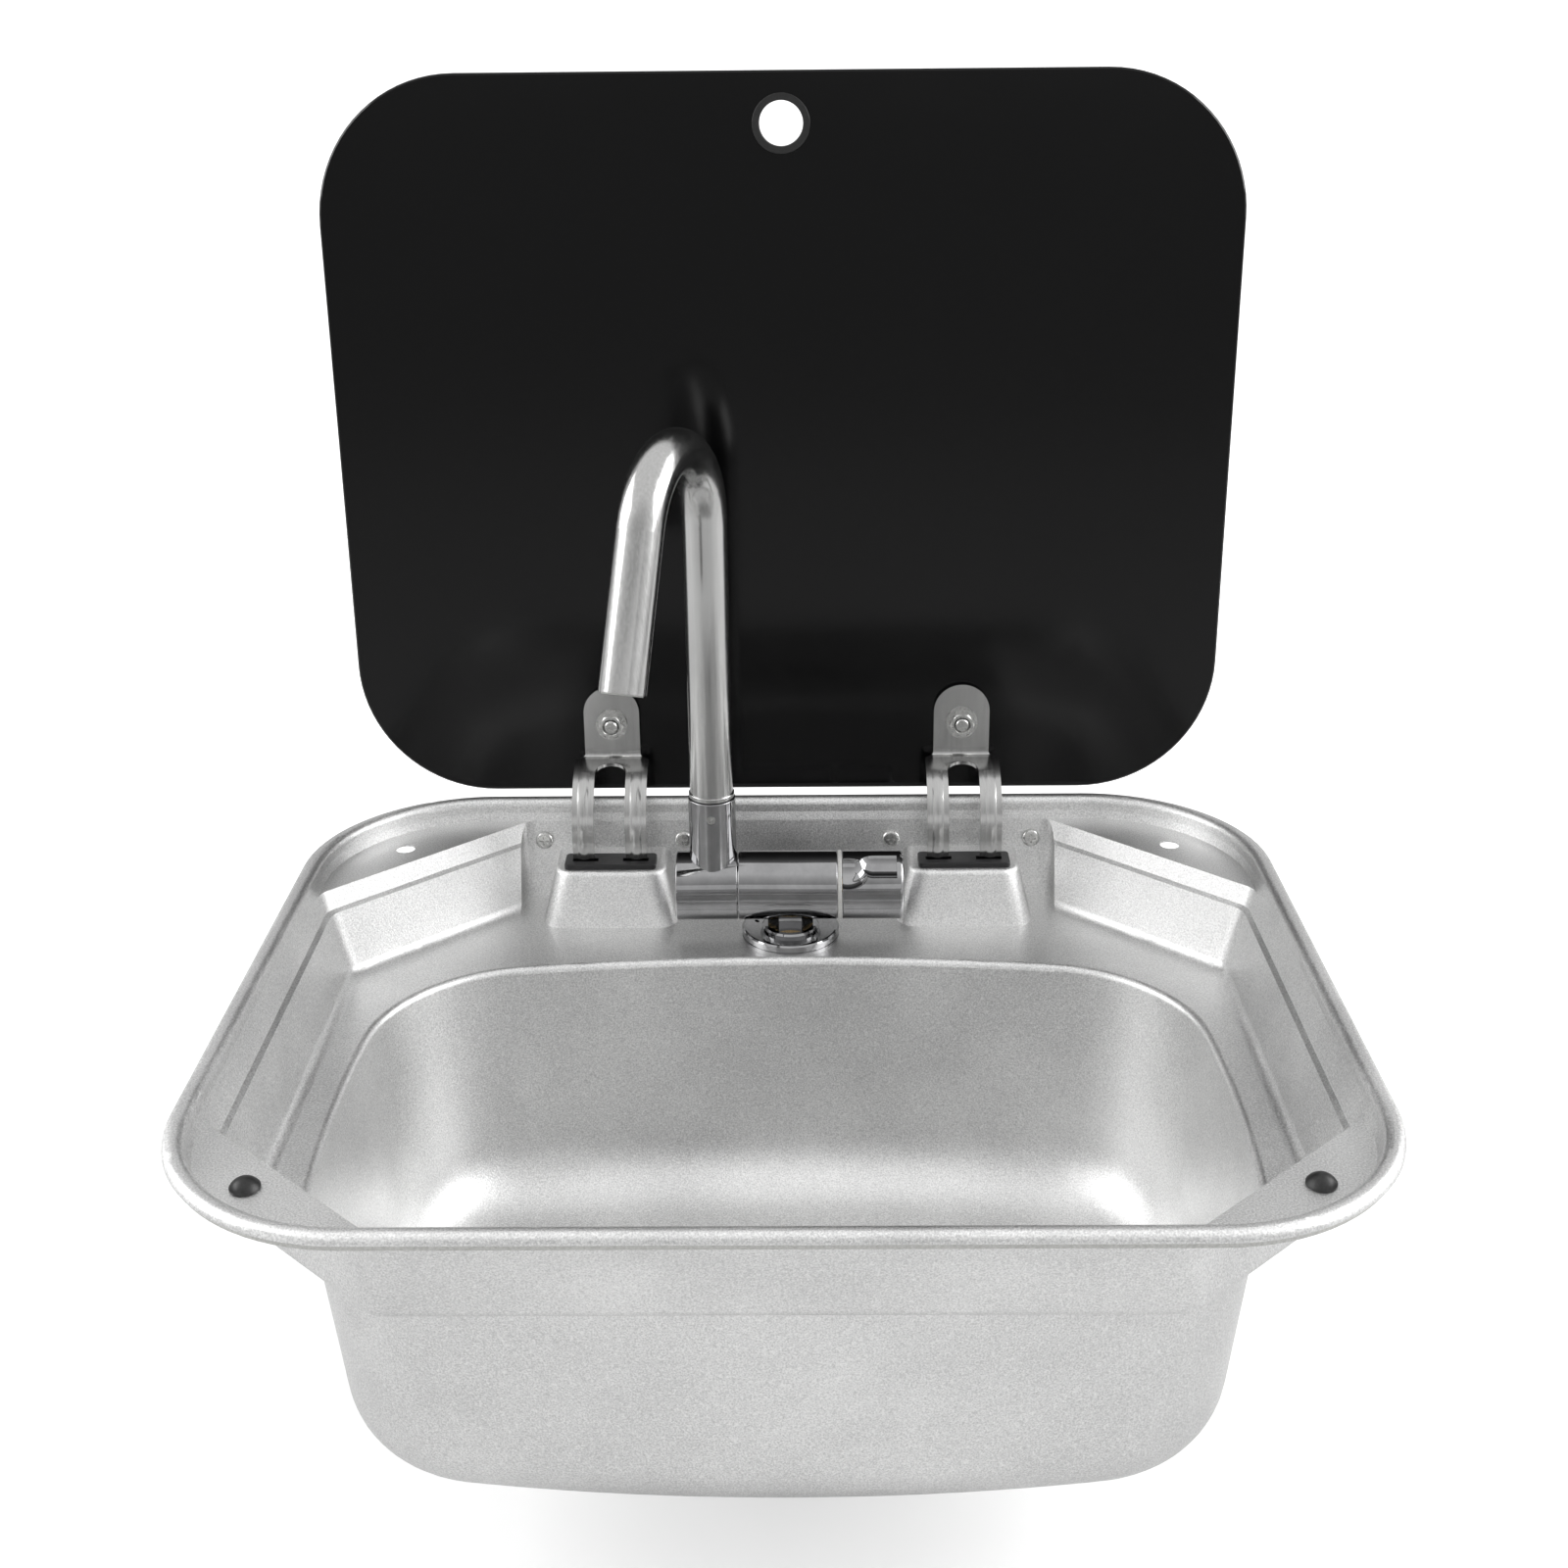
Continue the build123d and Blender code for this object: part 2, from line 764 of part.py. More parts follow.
def hinge_arm():
    """Right arm: plate under the glass, bend, and a fork of two arcs round the pivot."""
    half = arm_thickness / 2
    bend = bend_angle()
    end = bend + fork_end_angle
    inner = arm_radius - half
    outer = arm_radius + half
    low = arm_middle() - half
    high = arm_middle() + half
    far = lid_back() - arm_plate_length
    rise = level(pivot_depth)
    crest = 180 - math.degrees(math.asin((high - rise) / inner))
    crook = 180 - math.degrees(math.asin((low - rise) / outer))
    outside = side_point(inner, crest)
    nook = side_point(outer, crook)
    edges = [
        Line((far, low), nook),
        ThreePointArc(nook, side_point(outer, (crook + end) / 2), side_point(outer, end)),
        Line(side_point(outer, end), side_point(inner, end)),
        ThreePointArc(side_point(inner, end), side_point(inner, (crest + end) / 2), outside),
        Line(outside, (far, high)),
        Line((far, high), (far, low)),
    ]
    profile = make_face(edges)
    profile = fillet(profile.vertices().sort_by_distance((*outside, 0))[0], arm_bend_radius + half)
    profile = fillet(profile.vertices().sort_by_distance((*nook, 0))[0], arm_bend_radius - half)
    arm = slab(Plane.YZ * profile, fork_width)
    flare = (fork_width - arm_plate_width) / 2
    shoulder = Polyline(
        (arm_plate_width / 2, high + 1),
        (arm_plate_width / 2, low),
        (fork_width / 2, low - flare),
        (fork_width, low - flare),
        (fork_width, high + 1),
        close=True,
    )
    side = Pos(0, pivot_y(), 0) * extrude(Plane.XZ * make_face(shoulder), amount=pivot_y() - far + 1)
    arm -= Pos(hinge_x, 0, 0) * side
    arm -= Pos(hinge_x, 0, 0) * mirror(side, about=Plane.YZ)
    tip = far + arm_plate_width / 2
    round_end = disc(hinge_x, tip, low - 1, high + 1, arm_plate_width / 2)
    square_end = Box(arm_plate_width, tip - far + 1, 4 * half)
    arm -= Pos(hinge_x, (tip + far - 1) / 2, arm_middle()) * square_end - round_end
    slot_start = bend + fork_slot_start
    slot = sector(inner - 1, outer + 1, slot_start, end - fork_stop_arc)
    arm -= slab(slot, fork_slot_width)
    y, z = side_point(arm_radius, slot_start)
    turn = math.radians(slot_start)
    facing = Plane(origin=(hinge_x, y, z), x_dir=(1, 0, 0), z_dir=(0, math.cos(turn), math.sin(turn)))
    arm -= facing * Cylinder(fork_slot_width / 2, 4 * arm_thickness)
    leg = (fork_width + fork_slot_width) / 4
    for offset in (-leg, leg):
        arm += Pos(offset, 0, 0) * leg_rib(slot_start, end - 2 * fork_stop_arc)
    arm -= disc(hinge_x, bolt_y(), low - 1, high + 1, arm_bolt_hole_radius)
    return at_pivot(arm)


def arm_pads():
    """Discs between the glass and the arms."""
    high = lid_underside() - rest_gap
    low = lid_underside() - pad_thickness + rest_gap
    pad = disc(hinge_x, bolt_y(), low, high, pad_radius)
    pad -= disc(hinge_x, bolt_y(), low, high, bolt_glass_hole_radius)
    return pair(at_pivot(pad))


def lid_bolts():
    """Bolts with domed caps outside the glass."""
    seat = lid_underside() + glass_thickness + bolt_gasket_thickness
    nut_top = arm_middle() - arm_thickness / 2
    bolt = disc(hinge_x, bolt_y(), seat, seat + bolt_head_height, bolt_head_radius)
    bolt = fillet(floor_edges(bolt, seat + bolt_head_height), bolt_head_height * 0.7)
    tip = nut_top - nut_height - bolt_tip
    shank = disc(hinge_x, bolt_y(), tip, seat, bolt_radius)
    bolt += chamfer(floor_edges(shank, tip), bolt_point)
    return pair(at_pivot(bolt))


def bolt_gaskets():
    """Rings between the caps and the glass."""
    low = lid_underside() + glass_thickness + rest_gap
    high = lid_underside() + glass_thickness + bolt_gasket_thickness - rest_gap
    ring = disc(hinge_x, bolt_y(), low, high, bolt_gasket_radius)
    ring -= disc(hinge_x, bolt_y(), low, high, bolt_radius + bolt_fit)
    return pair(at_pivot(ring))


def lid_nuts():
    """Flanged nuts on the arms."""
    seat = arm_middle() - arm_thickness / 2
    hexagon = RegularPolygon(nut_flats / 2, 6, major_radius=False)
    nut = Pos(hinge_x, bolt_y(), seat - nut_height) * extrude(hexagon, amount=nut_height)
    round_bar = disc(hinge_x, bolt_y(), seat - nut_height, seat, nut_flats * 0.56)
    nut = nut & chamfer(floor_edges(round_bar, seat - nut_height), nut_edge)
    nut += disc(hinge_x, bolt_y(), seat - nut_flange_height, seat, nut_flange_radius)
    bore = bolt_radius + bolt_fit
    nut -= disc(hinge_x, bolt_y(), seat - nut_height, seat, bore)
    low = (Align.CENTER, Align.CENTER, Align.MIN)
    sink = Cone(bore + nut_countersink, bore, nut_countersink, align=low)
    nut -= Pos(hinge_x, bolt_y(), seat - nut_height) * sink
    return pair(at_pivot(nut))


# ---- Slot bushes, guides, pins and screws of the hinges

def leg_channel(width_gap, start, end):
    """Way of the fork round the pivot: both legs, and between them from the stop onwards."""
    inner = arm_radius - arm_thickness / 2 - width_gap
    outer = arm_radius + arm_thickness / 2 + fork_rib_height + width_gap
    way = slab(sector(inner, outer, start, end), fork_width + 2 * width_gap)
    open_end = bend_angle() - lid_open_angle + fork_end_angle
    stop = open_end - fork_stop_arc - math.degrees(stop_gap / arm_radius)
    if start < stop:
        way -= slab(sector(inner, outer, start, min(stop, end)), fork_slot_width - 2 * tongue_gap)
    return way


def bush_y():
    """Middle of the slot bush, just before the arc where it passes the pocket's top."""
    reach = math.sqrt(arm_radius**2 - (pocket_depth - pivot_depth) ** 2)
    return pivot_y() - reach - bush_before_arc


def bush_hole_width():
    """Width of the hole in the pocket's top: the fork, its gaps and the bush's walls."""
    return fork_width + 2 * bush_slot_gap + 2 * bush_wall


def slot_bush():
    """Black bush in the pocket's top, with a slot for each leg of the fork."""
    seat = Pos(hinge_x, bush_y(), level(pocket_depth))
    lip_width = bush_hole_width() + 2 * bush_lip_side
    lip = rounded(lip_width, bush_hole_length + 2 * bush_lip_end, bush_corner_radius)
    bush = extrude(seat * lip, amount=bush_lip)
    bush = fillet(floor_edges(bush, level(pocket_depth - bush_lip)), bush_edge)
    plug_width = bush_hole_width() - 2 * bush_fit
    plug_length = bush_hole_length - 2 * bush_fit
    plug = rounded(plug_width, plug_length, bush_corner_radius - bush_fit)
    bush += extrude(seat * plug, amount=-bush_plug)
    return bush - leg_channel(bush_slot_gap, guide_channel_start_angle, bush_slot_end_angle)


def guide_width():
    """Width of the guide block: the fork, its gaps and a wall on either side."""
    return fork_width + 2 * guide_gap + 2 * guide_wall


def guide_pins_at():
    """Places of the pins in the YZ plane, lid pivot as centre."""
    radius = arm_radius - arm_thickness / 2 - guide_pin_gap - guide_pin_radius
    return [side_point(radius, angle) for angle in guide_pin_angles]


def hinge_guide():
    """Block in the pocket that carries the fork, with its plate behind the rear wall."""
    top = level(pocket_depth + bush_plug + guide_seat_gap)
    foot = level(guide_bottom_depth)
    slope = rear_wall_lean / (ledge_depth - plate_depth)

    def wall_back(height, extra):
        return rear_wall_y(rim_height - height) + sheet + guide_seat_gap + extra

    plate_top = level(guide_plate_top_depth)
    plate = Polyline(
        (wall_back(plate_top, 0), plate_top),
        (wall_back(plate_top, guide_plate_thickness), plate_top),
        (wall_back(foot, guide_plate_thickness), foot),
        (wall_back(foot, 0), foot),
        close=True,
    )
    front = pivot_y() - arm_radius - guide_front_wall
    block = Polyline(
        (front, top),
        (wall_back(top, guide_plate_thickness / 2), top),
        (wall_back(foot, guide_plate_thickness / 2), foot),
        (front, foot),
        close=True,
    )
    guide = slab(Plane.YZ * make_face(plate), guide_plate_width)
    guide += slab(Plane.YZ * make_face(block), guide_width())
    guide -= leg_channel(guide_gap, guide_channel_start_angle, guide_channel_end_angle)
    pin_bore = Cylinder(guide_pin_radius + guide_pin_fit, guide_width() + 2)
    for y, z in guide_pins_at():
        guide -= Plane(origin=(hinge_x, y, z), z_dir=(1, 0, 0)) * pin_bore
    screw_bore = Cylinder(screw_radius + screw_fit, 8 * guide_plate_thickness)
    for offset in (-screw_spread, screw_spread):
        guide -= wall_plane(hinge_x + offset, screw_depth) * screw_bore
    return guide


def guide_pins():
    """Steel pins that the arcs run on, two to a hinge."""
    pins = []
    for y, z in guide_pins_at():
        pin = Plane(origin=(hinge_x, y, z), z_dir=(1, 0, 0)) * Cylinder(guide_pin_radius, guide_width())
        pins += [pin, mirror(pin, about=Plane.YZ)]
    return Compound(pins)


def hinge_screws():
    """Pan-head screws through the rear wall into the guides' plates."""
    head = extrude(Circle(screw_head_radius), amount=screw_head_height)
    head = fillet(floor_edges(head, screw_head_height), screw_head_height * 0.6)
    for turn in (0, 90):
        blade = Rot(0, 0, turn) * Box(screw_head_radius, screw_slot_width, screw_head_height)
        head -= Pos(0, 0, screw_head_height) * blade
    screw = head + Pos(0, 0, -screw_length) * extrude(Circle(screw_radius), amount=screw_length)
    screws = []
    for x in (hinge_x - screw_spread, hinge_x + screw_spread):
        placed = wall_plane(x, screw_depth) * screw
        screws += [placed, mirror(placed, about=Plane.YZ)]
    return Compound(screws)


# ---- Tap

def tap_axis():
    """Height of the tap's level axis."""
    return level(tap_axis_depth)


def joint_left():
    """Left end of the middle barrel."""
    return tap_x - middle_length / 2


def joint_right():
    """Right end of the middle barrel."""
    return tap_x + middle_length / 2


def collar_x():
    """Place of the collar that carries the spout."""
    return joint_left() - barrel_joint_gap - collar_from_joint


def along(radius, start, end):
    """Cylinder on the tap's level axis between two places."""
    plane = Plane(origin=(start, tap_y(), tap_axis()), x_dir=(0, 1, 0), z_dir=(1, 0, 0))
    return plane * extrude(Circle(radius), amount=end - start)


def barrel(start, end):
    """Piece of the barrel with eased ends."""
    piece = along(barrel_radius, start, end)
    return fillet(piece.edges().filter_by(GeomType.CIRCLE), barrel_edge)


def ring_groove(place):
    """Groove for an o-ring on the spigot."""
    half = o_ring_radius + o_ring_clearance
    floor = spigot_radius + running_fit - 2 * half
    return along(spigot_radius + 1, place - half, place + half) - along(floor, place - half, place + half)


def swivel_ring_places():
    """Places of the two o-rings on the spigot."""
    first = joint_left() - o_ring_from_end
    return (first, first - o_ring_spacing)


def neck_foot():
    """Height at which the neck stands on the flange."""
    return level(ledge_depth - flange_height - flange_collar_height)


def tap_body():
    """Middle barrel with its six-sided neck and the spigot for the swivel."""
    body = barrel(joint_left(), joint_right() - bezel_width - rest_gap)
    hexagon = RegularPolygon(neck_flats / 2, 6, major_radius=False)
    body += Pos(tap_x, tap_y(), neck_foot()) * extrude(hexagon, amount=tap_axis() - neck_foot())
    body += along(spigot_radius, joint_left() - spigot_length, joint_left() + 1)
    for place in swivel_ring_places():
        body -= ring_groove(place)
    inner_end = joint_right() - cartridge_length
    body -= along(cartridge_radius + running_fit, inner_end, joint_right() + 1)
    body -= along(water_bore_radius, joint_left() - spigot_length + 2, inner_end + 1)
    body -= disc(collar_x(), tap_y(), tap_axis(), tap_axis() + 2 * spigot_radius, port_radius)
    body -= disc(tap_x, tap_y(), neck_foot() - 1, neck_foot() + neck_bore_depth, neck_bore_radius)
    body -= disc(tap_x, tap_y(), neck_foot(), tap_axis(), water_bore_radius - spout_wall)
    return body


def handle_ring():
    """White ring between the middle barrel and the handle."""
    ring = barrel(joint_right() - bezel_width, joint_right())
    return ring - along(cartridge_radius + running_fit, joint_right() - 2 * bezel_width, joint_right() + 1)


def tap_flange():
    """Round foot with a groove round its side, a dish, a raised collar and a small pin hole."""
    hole = shank_radius + thread_fit
    rim = flange_radius - flange_edge
    collar = flange_height + flange_collar_height
    low = flange_groove_height - flange_groove / 2
    high = flange_groove_height + flange_groove / 2
    outline = [
        (hole, 0),
        (flange_radius, 0),
        (flange_radius, low),
        (flange_radius - flange_groove, low),
        (flange_radius - flange_groove, high),
        (flange_radius, high),
        (flange_radius, flange_height - flange_edge),
        (rim, flange_height),
        (flange_dish_radius, flange_height),
        (flange_collar_radius, flange_height - flange_dish_depth),
        (flange_collar_radius, collar - flange_collar_edge),
        (flange_collar_radius - flange_collar_edge, collar),
        (hole, collar),
    ]
    ring = revolve(Plane.XZ * make_face(Polyline(*outline, close=True)), axis=Axis.Z)
    turn = math.radians(flange_pinhole_angle)
    x = flange_pinhole_place * math.cos(turn)
    y = flange_pinhole_place * math.sin(turn)
    ring -= disc(x, y, flange_height - flange_pinhole_depth, flange_height, flange_pinhole_radius)
    return Pos(tap_x, tap_y(), level(ledge_depth)) * ring


def tap_shank():
    """Threaded tail of the tap with a spigot in the neck and a plain end for the hose."""
    top = neck_foot()
    foot = top - shank_length
    end = foot - inlet_length
    shank = disc(tap_x, tap_y(), foot, top, shank_radius)
    shank = chamfer(floor_edges(shank, foot), shank_edge)
    shank += disc(tap_x, tap_y(), top, top + neck_bore_depth - rest_gap, neck_bore_radius - thread_fit)
    inlet = disc(tap_x, tap_y(), end, top, inlet_radius)
    shank += chamfer(floor_edges(inlet, end), inlet_edge)
    return shank - disc(tap_x, tap_y(), end, top + neck_bore_depth, inlet_bore_radius)


def deck_washer():
    """Rubber washer under the ledge."""
    top = level(ledge_depth + sheet) - rest_gap
    ring = disc(tap_x, tap_y(), top - deck_washer_thickness, top, deck_washer_radius)
    return ring - disc(tap_x, tap_y(), top - deck_washer_thickness, top, shank_radius + thread_fit)


def deck_nut():
    """Six-sided nut that clamps the tap to the ledge."""
    top = level(ledge_depth + sheet) - 2 * rest_gap - deck_washer_thickness
    hexagon = RegularPolygon(deck_nut_flats / 2, 6, major_radius=False)
    nut = Pos(tap_x, tap_y(), top - deck_nut_height) * extrude(hexagon, amount=deck_nut_height)
    round_bar = disc(tap_x, tap_y(), top - deck_nut_height, top, deck_nut_flats * 0.56)
    nut = nut & chamfer(floor_edges(round_bar, top), deck_nut_edge)
    return nut - disc(tap_x, tap_y(), top - deck_nut_height, top, shank_radius + thread_fit)


def swivel_body():
    """Left end of the barrel, which folds forward with the collar and the spout."""
    right = joint_left() - barrel_joint_gap
    body = barrel(right - swivel_length, right)
    top = tap_axis() + collar_height
    collar = disc(collar_x(), tap_y(), tap_axis(), top, collar_radius)
    body += fillet(floor_edges(collar, top), barrel_edge)
    body -= along(spigot_radius + running_fit, joint_left() - spigot_length - barrel_joint_gap, right + 1)
    body -= disc(collar_x(), tap_y(), tap_axis(), top, port_radius)
    body -= disc(collar_x(), tap_y(), top - collar_bore_depth, top + 1, collar_bore_radius)
    return body - grub(grub_radius + thread_fit / 2, collar_radius + 1)


def grub_plane(reach, facing):
    """Plane across the grub screw's axis at a radius of the collar, facing front (-1) or back (1)."""
    place = (collar_x(), tap_y() - reach, tap_axis() + grub_height)
    return Plane(origin=place, x_dir=(1, 0, 0), z_dir=(0, facing, 0))


def grub(radius, reach):
    """Cylinder through the front of the collar's wall, from its inner end out to a radius."""
    start = collar_radius - grub_inset - grub_length
    return grub_plane(start, -1) * extrude(Circle(radius), amount=reach - start)


def grub_screw():
    """Socket screw that keeps the spout in the collar."""
    reach = collar_radius - grub_inset
    screw = grub(grub_radius, reach)
    socket = RegularPolygon(grub_socket_flats / 2, 6, major_radius=False)
    return screw - grub_plane(reach, 1) * extrude(socket, amount=grub_length / 2)


def spout_plane(height):
    """Plane across the spout's upright part at a height."""
    return Plane(origin=(collar_x(), tap_y(), height))


def spout_path():
    """Centreline of the tube: upright, bend and outlet, in the plane the spout swings to."""
    start = tap_axis() + collar_height + spout_seat_gap
    spring = rim_height + spout_top - spout_bend_radius
    turn = math.radians(spout_bend_turn)

    def on_bend(angle):
        return (spout_bend_radius * (1 - math.cos(angle)), spring + spout_bend_radius * math.sin(angle))

    end = on_bend(turn)
    drop = (end[1] - rim_height - spout_outlet_height) / math.cos(math.pi - turn)
    outlet = (end[0] + drop * math.sin(turn), end[1] + drop * math.cos(turn))
    swing = math.radians(180 + spout_swing)
    plane = Plane(
        origin=(collar_x(), tap_y(), 0),
        x_dir=(math.cos(swing), math.sin(swing), 0),
        z_dir=(math.sin(swing), -math.cos(swing), 0),
    )
    wire = Wire([
        Line((0, start), (0, spring)).edge(),
        ThreePointArc((0, spring), on_bend(turn / 2), end).edge(),
        Line(end, outlet).edge(),
    ])
    return plane * wire


def spout_tube():
    """Bent tube with a foot ring and a tail that turns in the collar."""
    path = spout_path()
    seat = tap_axis() + collar_height + spout_seat_gap
    tube = sweep(spout_plane(seat) * Circle(spout_radius), path=path)
    tube -= sweep(spout_plane(seat) * Circle(spout_radius - spout_wall), path=path)
    foot = disc(collar_x(), tap_y(), seat, seat + spout_foot, spout_foot_radius)
    tube += fillet(floor_edges(foot, seat) + floor_edges(foot, seat + spout_foot), barrel_edge)
    low = tap_axis() + collar_height - spout_tail_length
    tube += disc(collar_x(), tap_y(), low, seat + spout_foot, collar_bore_radius - running_fit)
    tube -= disc(collar_x(), tap_y(), low - 1, seat + spout_foot, spout_tail_bore_radius)
    groove = tap_axis() + grub_height
    tube -= tail_ring(groove - spout_groove_width / 2, groove + spout_groove_width / 2, spout_groove_depth)
    for depth in spout_ring_depths:
        place = tap_axis() + collar_height - depth
        half = o_ring_radius + o_ring_clearance
        tube -= tail_ring(place - half, place + half, 2 * half - running_fit)
    return tube


def tail_ring(low, high, depth):
    """Ring cut into the spout's tail between two heights."""
    outer = collar_bore_radius - running_fit
    ring = disc(collar_x(), tap_y(), low, high, outer + 1)
    return ring - disc(collar_x(), tap_y(), low, high, outer - depth)


def o_ring(path_radius):
    """Round-section ring about Z."""
    return Torus(path_radius, o_ring_radius)


def spout_o_rings():
    """Rings on the spout's tail."""
    radius = collar_bore_radius - o_ring_clearance - o_ring_radius
    top = tap_axis() + collar_height
    ring = o_ring(radius)
    return Compound([Pos(collar_x(), tap_y(), top - depth) * ring for depth in spout_ring_depths])


def swivel_o_rings():
    """Rings on the spigot of the middle barrel."""
    radius = spigot_radius + running_fit - o_ring_clearance - o_ring_radius
    ring = Rot(0, 90, 0) * o_ring(radius)
    return Compound([Pos(x, tap_y(), tap_axis()) * ring for x in swivel_ring_places()])


def aerator():
    """Insert with a fine grid in the spout's outlet."""
    path = spout_path()
    end = path @ 1
    out = path % 1
    plane = Plane(origin=end - out * (aerator_length - aerator_proud), z_dir=out)
    outer = spout_radius - spout_wall - thread_fit
    shell = extrude(Circle(outer), amount=aerator_length)
    shell -= extrude(Circle(outer - aerator_wall), amount=aerator_length)
    grid = extrude(Circle(outer - aerator_wall / 2), amount=aerator_grid_thickness)
    grid -= extrude(Circle(aerator_grid_hole_radius), amount=aerator_grid_thickness)
    for turn in range(0, 360, 60):
        hole = Rot(0, 0, turn) * Pos(aerator_grid_ring, 0, 0) * Circle(aerator_grid_hole_radius)
        grid -= extrude(hole, amount=aerator_grid_thickness)
    return plane * (shell + Pos(0, 0, aerator_length / 2) * grid)


def tap_cartridge():
    """Valve in the right half of the middle barrel."""
    inner_end = joint_right() - cartridge_length + rest_gap
    valve = along(cartridge_radius, inner_end, joint_right() - rest_gap)
    floor = joint_right() - spindle_depth - rest_gap
    return valve - along(spindle_radius + running_fit, floor, joint_right())


def cartridge_spindle():
    """Spindle that the handle turns."""
    end = joint_right() + barrel_joint_gap + spindle_reach
    spindle = along(spindle_radius, joint_right() - spindle_depth, end)
    return spindle - along(handle_screw_radius + guide_pin_fit, end - handle_screw_length / 2, end)


def hollowed(place, angle, depth, radius):
    """Point from which a hollow of this radius bites this deep into the handle, seen at an angle."""
    turn = math.radians(angle)
    away = barrel_radius - depth + radius
    return Pos(place, tap_y() - away * math.cos(turn), tap_axis() + away * math.sin(turn))


def tap_handle():
    """Right end of the barrel with a thumb hollow that runs into a flute."""
    left = joint_right() + barrel_joint_gap
    right = left + handle_length
    handle = along(barrel_radius, left, right)
    ends = handle.edges().filter_by(GeomType.CIRCLE).sort_by(Axis.X)
    handle = fillet(ends[-1], handle_end_radius)
    ends = handle.edges().filter_by(GeomType.CIRCLE).sort_by(Axis.X)
    handle = fillet(ends[0], barrel_edge)
    handle -= along(spindle_radius + guide_pin_fit, left - 1, left + spindle_reach + rest_gap)
    recess = right - end_cap_thickness - rest_gap
    seat = recess - handle_screw_pocket
    handle -= along(end_cap_radius + end_cap_fit, recess, right + 1)
    handle -= along(handle_screw_head_radius + 3 * end_cap_fit, seat, right)
    handle -= along(handle_screw_radius + end_cap_fit, left, seat + 1)
    start = left + scoop_start
    length = right - scoop_end_wall - start
    bottom = (Align.CENTER, Align.CENTER, Align.MIN)
    flute = Rot(0, 90, 0) * Cylinder(scoop_radius, length, align=bottom) + Sphere(scoop_radius)
    handle -= hollowed(start, scoop_angle, scoop_depth, scoop_radius) * flute
    thumb = hollowed(left + thumb_place, thumb_angle, thumb_depth, thumb_radius)
    return handle - thumb * Sphere(thumb_radius)


def handle_screw():
    """Screw that holds the handle on the spindle."""
    right = joint_right() + barrel_joint_gap + handle_length
    seat = right - end_cap_thickness - rest_gap - handle_screw_pocket
    screw = along(handle_screw_head_radius, seat, seat + handle_screw_head_height)
    return screw + along(handle_screw_radius, seat - handle_screw_length, seat)


def handle_end_cap():
    """Disc that closes the handle's end."""
    right = joint_right() + barrel_joint_gap + handle_length
    cap = along(end_cap_radius, right - end_cap_thickness, right)
    return chamfer(cap.edges().filter_by(GeomType.CIRCLE).sort_by(Axis.X)[-1], end_cap_thickness / 4)


# ---- Waste in the bowl's floor

def turned(points):
    """Ring turned round the waste's upright axis from (radius, height) points."""
    ring = revolve(Plane.XZ * make_face(Polyline(*points, close=True)), axis=Axis.Z)
    return Pos(0, waste_y(), level(bowl_depth)) * ring


def waste_flange():
    """Flange on the bowl's floor with a stepped seat and a threaded tail."""
    seat = waste_flange_height - strainer_sheet
    return turned([
        (waste_bore_radius, -waste_body_length),
        (waste_body_radius, -waste_body_length),
        (waste_body_radius, 0),
        (waste_flange_radius, 0),
        (waste_flange_radius, waste_flange_height / 3),
        (waste_flange_radius - waste_flange_height, waste_flange_height),
        (strainer_rim_radius + strainer_gap, waste_flange_height),
        (strainer_rim_radius + strainer_gap, seat - strainer_gap),
        (waste_bore_radius, seat - strainer_gap),
    ])


def waste_gasket():
    """Rubber ring under the bowl's floor."""
    top = -sheet - rest_gap
    inner = waste_body_radius + waste_thread_fit
    return turned([
        (inner, top),
        (waste_gasket_radius, top),
        (waste_gasket_radius, top - waste_gasket_thickness),
        (inner, top - waste_gasket_thickness),
    ])


def waste_nut():
    """Ribbed ring nut under the gasket."""
    top = -sheet - 2 * rest_gap - waste_gasket_thickness
    foot = top - waste_nut_height
    inner = waste_body_radius + waste_thread_fit
    rim = waste_nut_radius - waste_flange_height
    nut = turned([(inner, top), (rim, top), (rim, foot), (inner, foot)])
    for number in range(waste_nut_rib_count):
        angle = 2 * math.pi * number / waste_nut_rib_count
        x = rim * math.cos(angle)
        y = waste_y() + rim * math.sin(angle)
        nut += disc(x, y, level(bowl_depth) + foot, level(bowl_depth) + top, waste_flange_height)
    return nut


def waste_tail():
    """Outlet tail screwed into the lower end of the waste."""
    top = -waste_body_length - rest_gap
    foot = top - waste_tail_length
    step = top - waste_tail_step
    return turned([
        (waste_tail_bore_radius, top + waste_tail_step),
        (waste_bore_radius - waste_thread_fit, top + waste_tail_step),
        (waste_bore_radius - waste_thread_fit, top),
        (waste_body_radius, top),
        (waste_body_radius, step),
        (waste_tail_radius, step - waste_tail_cone),
        (waste_tail_radius, foot),
        (waste_tail_bore_radius, foot),
    ])


